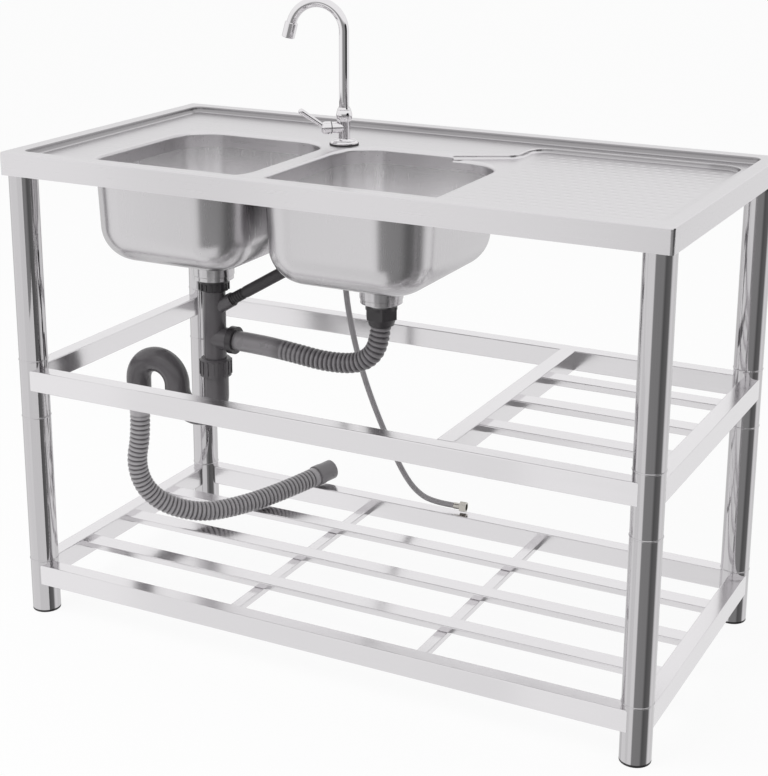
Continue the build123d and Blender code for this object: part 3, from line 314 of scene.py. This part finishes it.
# The same in a darker batch for the link between the drains and the cuff
linkPlastic = mouldedPlastic("darkHosePolyethylene", {
    "dark": "7F7C7F", "light": "8D8A8D", "rough": (0.24, 0.32), "bump": 0.06, "ior": 1.51,
    "skinMm": 1.5, "cloudMm": 30.0, "grooveShade": "3E3B3E",
})
# Nearly black soft hose of the overflow
overflowRubber = mouldedPlastic("blackOverflowRubber", {
    "dark": "353235", "light": "413E41", "rough": (0.4, 0.55), "bump": 0.1, "ior": 1.52,
    "skinMm": 1.2, "cloudMm": 25.0, "grooveShade": "1F1C1F",
})
# Plasticised PVC supply hose, light grey and smooth
supplyPlastic = mouldedPlastic("greySupplyHose", {
    "dark": "999699", "light": "A7A4A7", "rough": (0.32, 0.42), "bump": 0.08, "ior": 1.53,
    "skinMm": 1.5, "cloudMm": 50.0,
})
# Seals and feet; the seal black also makes the painted shade ring in the lever's gap
sealRubberAndGapShade = mouldedPlastic("blackSealRubberAndGapShade", {
    "dark": "252225", "light": "312E31", "rough": (0.5, 0.65), "bump": 0.15, "ior": 1.52,
    "skinMm": 1.0, "cloudMm": 20.0,
})
footPlastic = mouldedPlastic("blackFootPolyethylene", {
    "dark": "201D20", "light": "2C292C", "rough": (0.4, 0.55), "bump": 0.15, "ior": 1.51,
    "skinMm": 1.0, "cloudMm": 20.0,
})
# Nickel-plated brass of the nuts under the tap and of the supply fitting
nickel = grainedSteel("nickelPlatedBrass", {
    "dark": "B9B6AF", "light": "CFCCC6", "rough": (0.16, 0.26), "bump": 0.03,
    "grainMm": (8.0, 8.0, 8.0), "waveMm": (40.0, 40.0, 40.0),
})
print("materials:", len(bpy.data.materials))

finishes = {
    "worktop": satinSheet, **bowlSteels,
    "leg_sockets": satinSheet, "leg_couplers": tubeSteel, "feet": footPlastic,
    "tap_gasket": sealRubberAndGapShade, "strainer_gaskets": sealRubberAndGapShade,
    "tap_body": chrome, "tap_lever": chrome, "tap_collar": chrome, "tap_spout": chrome, "tap_aerator": chrome,
    "tap_valve": nickel, "tap_nuts": nickel, "supply_hose_end": nickel,
    "left_strainer": turnedSteel, "right_strainer": turnedSteel, "strainer_lock_rings": turnedSteel,
    "left_basket": turnedSteel, "right_basket": turnedSteel, "overflow_rosette": turnedSteel,
    "drain_tee": pipePlastic, "s_trap": pipePlastic, "overflow_outlet": pipePlastic,
    "drain_nuts": nutPlastic, "waste_hose_end": linkPlastic,
    "mid_slats": longRailSteel, "lower_slats": longRailSteel,
    "mid_cross_rail": crossRailSteel, "lower_cross_bars": crossRailSteel,
}


def finishOf(node):
    if node in finishes:
        return finishes[node]
    if node.endswith("_rail"):
        return crossRailSteel if "left" in node or "right" in node else longRailSteel
    if node.startswith(("leg_", "mid_post", "foot_post")):
        return tubeSteel
    return hosePlastic


for name, node in nodes.items():
    node.data.materials.clear()
    node.data.materials.append(finishOf(name))
print("finishes on", len(nodes), "nodes")


def finishedPiece(name, shape, material):
    mesh = bpy.data.meshes.new(name)
    shape.to_mesh(mesh)
    shape.free()
    piece = bpy.data.objects.new(name, mesh)
    mesh.materials.append(material)
    scene.collection.objects.link(piece)
    return piece


# hose helpers: the line of a route, stations along it, and a tube grown ring by ring
routeFineness = 32  # points of the line for each point of the route


def routeCurve(name, points):
    curve = bpy.data.curves.new(name, "CURVE")
    curve.dimensions = "3D"
    curve.resolution_u = routeFineness
    spline = curve.splines.new("NURBS")
    spline.points.add(len(points) - 1)
    for control, place in zip(spline.points, points):
        control.co = (*place, 1.0)
    spline.order_u = 3
    spline.use_endpoint_u = True
    return curve


def routeLine(name, points):
    rope = bpy.data.objects.new(name + "Line", routeCurve(name + "Line", points))
    scene.collection.objects.link(rope)
    bpy.context.view_layer.update()
    mesh = bpy.data.meshes.new_from_object(rope)
    line = [vert.co.copy() for vert in mesh.vertices]
    bpy.data.objects.remove(rope)
    bpy.data.meshes.remove(mesh)
    return line


def lineLength(line):
    return sum((b - a).length for a, b in zip(line, line[1:]))


def stations(line, distances):
    found = []
    travelled, step = 0.0, 0
    for distance in distances:
        while step < len(line) - 2 and travelled + (line[step + 1] - line[step]).length < distance:
            travelled += (line[step + 1] - line[step]).length
            step += 1
        run = line[step + 1] - line[step]
        found.append((line[step] + run.normalized() * (distance - travelled), step))
    return found


# profile holds (distance, radius, groove) for each ring; the groove share sets how much painted shade a ring gets
def sweptTube(name, line, profile, sides, material):
    places = stations(line, [ring[0] for ring in profile])
    tube = bmesh.new()
    grooveShade = tube.verts.layers.float.new("grooveShade")
    bmesh.ops.create_circle(tube, segments=sides, radius=1.0)
    ringEdges = list(tube.edges)
    aside = Vector((0.0, 0.0, 1.0)).cross(line[1] - line[0])
    if aside.length < 1e-6:
        aside = Vector((1.0, 0.0, 0.0))
    before = Matrix.Identity(4)
    for index, ((_, radius, depth), (centre, step)) in enumerate(zip(profile, places)):
        last = min(step + 2, len(line) - 1)
        along = (line[last] - line[max(step - 1, 0)]).normalized()
        aside = (aside - along * aside.dot(along)).normalized()
        axes = Matrix((aside * radius, along.cross(aside) * radius, along)).transposed().to_4x4()
        here = Matrix.Translation(centre) @ axes
        if index:
            grown = bmesh.ops.extrude_edge_only(tube, edges=ringEdges)["geom"]
            ring = [item for item in grown if isinstance(item, bmesh.types.BMVert)]
            ringEdges = [item for item in grown if isinstance(item, bmesh.types.BMEdge)]
        else:
            ring = list(tube.verts)
            bmesh.ops.contextual_create(tube, geom=ringEdges)
        bmesh.ops.transform(tube, matrix=here @ before.inverted(), verts=ring)
        for vert in ring:
            vert[grooveShade] = depth
        before = here
    bmesh.ops.contextual_create(tube, geom=ringEdges)
    bmesh.ops.recalc_face_normals(tube, faces=tube.faces)
    for face in tube.faces:
        face.smooth = len(face.verts) == 4
    return finishedPiece(name, tube, material)


# one rib: (share of the pitch, height above the groove as a share of the depth)
ribShape = [(0.0, 0.42), (0.11, 0.8), (0.23, 0.97), (0.34, 1.0), (0.45, 0.97), (0.57, 0.8), (0.68, 0.42),
            (0.77, 0.1), (0.84, 0.0), (0.91, 0.1)]


def ribRings(start, rib, pitch, crest, depth):
    return [(start + (rib + share) * pitch, crest - depth * (1 - height), 1 - height) for share, height in ribShape]


def ribbedProfile(length, hose):
    crest = hose["diameter"] / 2
    (start, end), (first, last) = hose["plain"], hose["plainRings"]
    count = round((length - start - end) / hose["pitch"])
    pitch = (length - start - end) / count
    rings = [(start * step / first, crest, 0.0) for step in range(first)]
    for rib in range(count):
        depth = hose["depth"] * min(1.0, (rib + 1) / hose["fadeRibs"])
        rings += ribRings(start, rib, pitch, crest, depth)
    return rings + [(length - end + end * step / last, crest, 0.0) for step in range(last + 1)]


# waste hose: from the trap down to the lower shelf and out over the rear rail
wasteHose = {
    "points": [
        (-0.485, -0.078, 0.355), (-0.485, -0.078, 0.292), (-0.498, -0.080, 0.234), (-0.489, -0.068, 0.178),
        (-0.458, -0.038, 0.137), (-0.413, 0.014, 0.111), (-0.377, 0.080, 0.106), (-0.347, 0.150, 0.107),
        (-0.320, 0.216, 0.1126), (-0.304, 0.268, 0.1164),
    ],
    "diameter": 0.038, "pitch": 0.009, "depth": 0.0026, "plain": (0.024, 0.012), "fadeRibs": 1,
    "plainRings": (6, 4), "sides": 40,
}
wasteLine = routeLine("wasteHose", wasteHose["points"])
wasteLength = lineLength(wasteLine)
wasteProfile = ribbedProfile(wasteLength, wasteHose)
waste = sweptTube("wasteHose", wasteLine, wasteProfile, wasteHose["sides"], hosePlastic)
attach(waste, "bench")
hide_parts("waste_hose")
print("waste hose", round(wasteLength, 3))

# link hose: smooth where it leaves the tee, then ribbed, sagging across to the right drain
linkHose = {
    "points": [
        (-0.2915, -0.078, 0.509), (-0.224, -0.078, 0.509), (-0.152, -0.078, 0.504), (-0.078, -0.078, 0.496),
        (-0.008, -0.078, 0.505), (0.025, -0.078, 0.547), (0.025, -0.078, 0.6051),
    ],
    "diameter": 0.036, "pitch": 0.009, "depth": 0.0026, "plain": (0.12, 0.024), "fadeRibs": 7,
    "plainRings": (6, 4), "sides": 40,
}
linkLine = routeLine("linkHose", linkHose["points"])
linkLength = lineLength(linkLine)
linkProfile = ribbedProfile(linkLength, linkHose)
link = sweptTube("linkHose", linkLine, linkProfile, linkHose["sides"], linkPlastic)
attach(link, "bench")
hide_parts("link_hose")
print("link hose", round(linkLength, 3))

# overflow hose: a short ribbed neck at the tee, then plain, rising between the bowls to the left one's outlet
overflowHose = {
    "points": [
        (-0.2903, -0.078, 0.57565), (-0.256, -0.078, 0.5963), (-0.215, -0.078, 0.6209), (-0.1762, -0.078, 0.6442),
        (-0.1462, -0.078, 0.6622), (-0.1462, -0.078, 0.700), (-0.1462, -0.078, 0.741),
    ],
    "diameter": 0.021, "pitch": 0.0056, "depth": 0.0016, "neck": (0.0195, 0.0475),
    "plainRings": (3, 40), "sides": 32,
}


def overflowProfile(length, hose):
    crest, pitch = hose["diameter"] / 2, hose["pitch"]
    (start, end), (first, last) = hose["neck"], hose["plainRings"]
    rings = [(start * step / first, crest, 0.0) for step in range(first)]
    for rib in range(round((end - start) / pitch)):
        rings += ribRings(start, rib, pitch, crest, hose["depth"])
    rest = length - end - pitch
    return rings + [(end + pitch + rest * step / last, crest, 0.0) for step in range(last + 1)]


overflowLine = routeLine("overflowHose", overflowHose["points"])
overflowLength = lineLength(overflowLine)
overflowRings = overflowProfile(overflowLength, overflowHose)
overflow = sweptTube("overflowHose", overflowLine, overflowRings, overflowHose["sides"], overflowRubber)
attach(overflow, "bench")
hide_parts("overflow_hose")
print("overflow hose", round(overflowLength, 3))

# supply hose: smooth, from the tap down behind the bowls to the lower rear rail
supplyHose = {
    "points": [
        (-0.144, 0.102, 0.794), (-0.144, 0.102, 0.716), (-0.154, 0.116, 0.632), (-0.154, 0.128, 0.548),
        (-0.147, 0.145, 0.465), (-0.137, 0.168, 0.384), (-0.124, 0.196, 0.306), (-0.111, 0.227, 0.234),
        (-0.098, 0.256, 0.170), (-0.078, 0.274, 0.127), (-0.044, 0.280, 0.1074), (0.002, 0.285, 0.1066),
    ],
    "diameter": 0.011, "roundness": 6,
}
supplyCurve = routeCurve("supplyHose", supplyHose["points"])
supplyCurve.bevel_depth = supplyHose["diameter"] / 2
supplyCurve.bevel_resolution = supplyHose["roundness"]
supplyCurve.use_fill_caps = True
supplyCurve.materials.append(supplyPlastic)
supply = bpy.data.objects.new("supplyHose", supplyCurve)
scene.collection.objects.link(supply)
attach(supply, "bench")
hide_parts("supply_hose")
print("supply hose made")

# drainboard: low round pearls pressed up in staggered rows
pearls = {
    "corner": (0.215, -0.222), "far": (0.530, 0.216), "level": 0.840, "pitch": (0.021, 0.0215),
    "radius": 0.0090, "height": 0.00045, "sunk": 0.00002, "sides": 14,
    "steps": [(0.0026, 0.22), (0.0026, 0.48), (0.002, 0.3)],  # inwards, and the share of the height that it rises
}


def makePearls(look):
    dome = bmesh.new()
    rim = bmesh.ops.create_circle(dome, cap_ends=True, segments=look["sides"], radius=look["radius"])["verts"]
    cap = list(rim[0].link_faces)
    for inwards, share in look["steps"]:
        bmesh.ops.inset_region(dome, faces=cap, thickness=inwards, depth=share * look["height"],
                               use_boundary=True, use_even_offset=True)
    (left, front), (right, rear), (pitchX, pitchY) = look["corner"], look["far"], look["pitch"]
    columns, rows = int((right - left) / pitchX), int((rear - front) / pitchY)
    single = bpy.data.meshes.new("pearl")
    sheet = bmesh.new()
    here = Vector()
    for row in range(rows + 1):
        odd = row % 2
        for column in range(columns + 1 - odd):
            there = Vector((left + (column + odd / 2) * pitchX, front + row * pitchY, look["level"] - look["sunk"]))
            bmesh.ops.translate(dome, vec=there - here, verts=dome.verts)
            dome.to_mesh(single)
            sheet.from_mesh(single)
            here = there
    dome.free()
    bpy.data.meshes.remove(single)
    for face in sheet.faces:
        face.smooth = True
    return finishedPiece("drainboardPearls", sheet, satinSheet)


pearlSheet = makePearls(pearls)
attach(pearlSheet, "bench")
print("drainboard pearls:", len(pearlSheet.data.polygons), "faces")


# rings: a closed section, as (out, up) points round the ring's line, spun about an upright axis and then placed
def spunRings(name, rings, section, material, place=Matrix(), steps=48):
    shape = bmesh.new()
    for x, y, level, radius in rings:
        corners = [shape.verts.new((x + radius + out, y, level + rise)) for out, rise in section]
        sides = [shape.edges.new((a, b)) for a, b in zip(corners, corners[1:] + corners[:1])]
        bmesh.ops.spin(shape, geom=corners + sides, cent=(x, y, level), axis=(0, 0, 1), angle=math.tau,
                       steps=steps, use_merge=True)
    bmesh.ops.transform(shape, matrix=place, verts=shape.verts)
    bmesh.ops.recalc_face_normals(shape, faces=shape.faces)
    for face in shape.faces:
        face.smooth = True
    return finishedPiece(name, shape, material)


def roundSection(radius, steps=10):
    turns = [math.tau * step / steps for step in range(steps)]
    return [(radius * math.cos(turn), radius * math.sin(turn)) for turn in turns]


# legs: a fine rolled edge at each seam of the tubes
legSeams = {
    "legs": [(-0.572, -0.272), (0.572, -0.272), (-0.572, 0.272), (0.572, 0.272)],
    "levels": (0.102, 0.379, 0.485), "radius": 0.0255,
    "section": [(-0.0004, -0.0017), (0.0005, -0.0013), (0.0009, -0.0005), (0.0009, 0.0005), (0.0005, 0.0013),
                (-0.0004, 0.0017)],
}
seamRings = [(*leg, level, legSeams["radius"]) for leg in legSeams["legs"] for level in legSeams["levels"]]
seams = spunRings("legSeamRings", seamRings, legSeams["section"], tubeSteel)
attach(seams, "bench")
print("seam rings:", len(seams.data.polygons), "faces")

# tap: turned beads on the collar and a raised step on the flange
tapBeads = {
    "axis": (-0.144, 0.102), "bead": 0.0011,
    "rings": [(0.8925, 0.0127), (0.9115, 0.0115), (0.8553, 0.0195)],  # level and radius
}
beads = spunRings("tapBeads", [(*tapBeads["axis"], *ring) for ring in tapBeads["rings"]],
                  roundSection(tapBeads["bead"]), chrome)
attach(beads, "bench")
print("tap beads:", len(beads.data.polygons), "faces")

# tap: a black ring in the gap between the side boss and the lever's hub, as painted shade of that gap
leverGapShade = {"boss": (-0.144, 0.102, 0.879), "turn": 221.0, "along": 0.0244, "radius": 0.0105, "bead": 0.0009}
gapShadeTurn = math.radians(leverGapShade["turn"])
gapShadeAxis = Vector((math.cos(gapShadeTurn), math.sin(gapShadeTurn), 0.0))
gapShadePlace = Matrix.Translation(leverGapShade["boss"]) @ gapShadeAxis.to_track_quat("Z", "Y").to_matrix().to_4x4()
gapShadeRing = spunRings("leverGapShade", [(0.0, 0.0, leverGapShade["along"], leverGapShade["radius"])],
                 roundSection(leverGapShade["bead"]), sealRubberAndGapShade, gapShadePlace)
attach(gapShadeRing, "bench")
print("lever gap shade ring:", len(gapShadeRing.data.polygons), "faces")


# stage: a white floor that keeps a faint shadow, and cards that only the metal sees
def stagePlane(name, corners, material, onlyMirrored=False):
    shape = bmesh.new()
    shape.faces.new([shape.verts.new(corner) for corner in corners])
    plane = finishedPiece(name, shape, material)
    if onlyMirrored:
        plane.visible_camera = False
        plane.visible_diffuse = False
        plane.visible_shadow = False
        plane.visible_transmission = False
    return plane


floorLook = {
    "colour": "FAFAFA", "rough": 0.9, "half": 14.0,
    "glow": 0.92,  # share of plain white that the camera sees, the rest keeps the shadow
}


def floorMaterial(look):
    material, tree, shader = newMaterial("paleFloor", Base_Color=linear(look["colour"]), Roughness=look["rough"])
    glow = addNode(tree, "ShaderNodeEmission", {"Color": linear("FFFFFF"), "Strength": 1.0})
    ray = addNode(tree, "ShaderNodeLightPath")
    share = addNode(tree, "ShaderNodeMath", {1: look["glow"]}, {0: ray.outputs["Is Camera Ray"]},
                    operation="MULTIPLY")
    mix = addNode(tree, "ShaderNodeMixShader", links={0: share.outputs[0], 1: shader.outputs[0], 2: glow.outputs[0]})
    tree.links.new(mix.outputs[0], tree.nodes["Material Output"].inputs["Surface"])
    return material


def cardMaterial(name, hexColour):
    material, tree, _ = newMaterial(name)
    glow = addNode(tree, "ShaderNodeEmission", {"Color": linear(hexColour), "Strength": 1.0})
    tree.links.new(glow.outputs[0], tree.nodes["Material Output"].inputs["Surface"])
    return material


half = floorLook["half"]
floorCorners = [(-half, -half, 0), (half, -half, 0), (half, half, 0), (-half, half, 0)]
floor = stagePlane("floor", floorCorners, floorMaterial(floorLook))
floor.visible_glossy = False  # the metal sees the studio's wall in its place
cards = {
    # grey, and the ends of the upright card in plan, with its lowest and highest level
    "leftLegCard": ("F4F4F4", (-0.7, -0.75), (-0.35, -0.75), (-0.5, 1.1)),
    "leftLegFootCard": ("F4F4F4", (-0.35, -0.75), (0.2, -0.75), (-0.5, 0.42)),
    "tapSideCard": ("1C1C1D", (1.0, -0.48), (1.0, 0.22), (0.72, 1.3)),
}
for name, (grey, near, far, (low, high)) in cards.items():
    corners = [(*near, low), (*far, low), (*far, high), (*near, high)]
    stagePlane(name, corners, cardMaterial(name + "Grey", grey), onlyMirrored=True)


# the studio's wall as metal sees it: heading in degrees from +X towards +Y, and how bright it is there
studio = {
    "wall": [(-179, 1.0), (-105, 1.0), (-97, 0.31), (-44, 0.3), (-30, 0.125), (8, 0.19), (18, 0.75), (24, 1.0),
             (42, 1.0), (48, 0.9), (80, 0.9), (95, 0.76), (166, 0.76), (174, 1.0)],
    "overhead": (0.1, 0.3),  # sine of the heights between which the wall turns into the white ceiling
    "fill": 0.62,  # of the light that falls on what isn't a mirror
}


def makeWorld(look):
    world = bpy.data.worlds.new("studio")
    scene.world = world
    world.use_nodes = True
    tree = world.node_tree
    white = linear("FFFFFF")
    place = addNode(tree, "ShaderNodeTexCoord")
    way = addNode(tree, "ShaderNodeSeparateXYZ", links={0: place.outputs["Generated"]})
    heading = addNode(tree, "ShaderNodeMath", links={0: way.outputs["Y"], 1: way.outputs["X"]}, operation="ARCTAN2")
    share = addNode(tree, "ShaderNodeMapRange", {"From Min": -math.pi, "From Max": math.pi},
                    {"Value": heading.outputs[0]})
    wall = addNode(tree, "ShaderNodeValToRGB", links={0: share.outputs["Result"]})
    wall.color_ramp.elements[0].color = white
    for degrees, grey in look["wall"]:
        wall.color_ramp.elements.new((degrees + 180) / 360).color = (grey, grey, grey, 1)
    low, high = look["overhead"]
    overhead = addNode(tree, "ShaderNodeMapRange", {"From Min": low, "From Max": high}, {"Value": way.outputs["Z"]})
    wall = addNode(tree, "ShaderNodeMix", {7: white},
                   {0: overhead.outputs["Result"], 6: wall.outputs["Color"]}, data_type="RGBA")
    seen = tree.nodes["Background"]
    seen.inputs["Color"].default_value = white
    seen.inputs["Strength"].default_value = 1.0
    mirrored = addNode(tree, "ShaderNodeBackground", {"Strength": 1.0}, {"Color": wall.outputs[2]})
    fill = addNode(tree, "ShaderNodeBackground", {"Color": white, "Strength": look["fill"]})
    ray = addNode(tree, "ShaderNodeLightPath")
    mix = addNode(tree, "ShaderNodeMixShader",
                  links={0: ray.outputs["Is Glossy Ray"], 1: fill.outputs[0], 2: mirrored.outputs[0]})
    direct = addNode(tree, "ShaderNodeMath", operation="MAXIMUM",
                     links={0: ray.outputs["Is Camera Ray"], 1: ray.outputs["Is Transmission Ray"]})
    mix = addNode(tree, "ShaderNodeMixShader", links={0: direct.outputs[0], 1: mix.outputs[0], 2: seen.outputs[0]})
    tree.links.new(mix.outputs[0], tree.nodes["World Output"].inputs["Surface"])


makeWorld(studio)


# one large soft box, in front on the left
keyLight = {"place": (-1.6, -2.2, 3.0), "aim": (0.0, 0.0, 0.5), "size": (2.4, 2.4), "power": 60}


def softBox(name, setup):
    lamp = bpy.data.lights.new(name, "AREA")
    lamp.shape = "RECTANGLE"
    lamp.size, lamp.size_y = setup["size"]
    lamp.energy = setup["power"]
    light = bpy.data.objects.new(name, lamp)
    light.location = setup["place"]
    aim = Vector(setup["aim"]) - Vector(setup["place"])
    light.rotation_euler = aim.to_track_quat("-Z", "Y").to_euler()
    light.visible_camera = False
    light.visible_glossy = False
    scene.collection.objects.link(light)


softBox("keySoftBox", keyLight)
print("stage and light set")
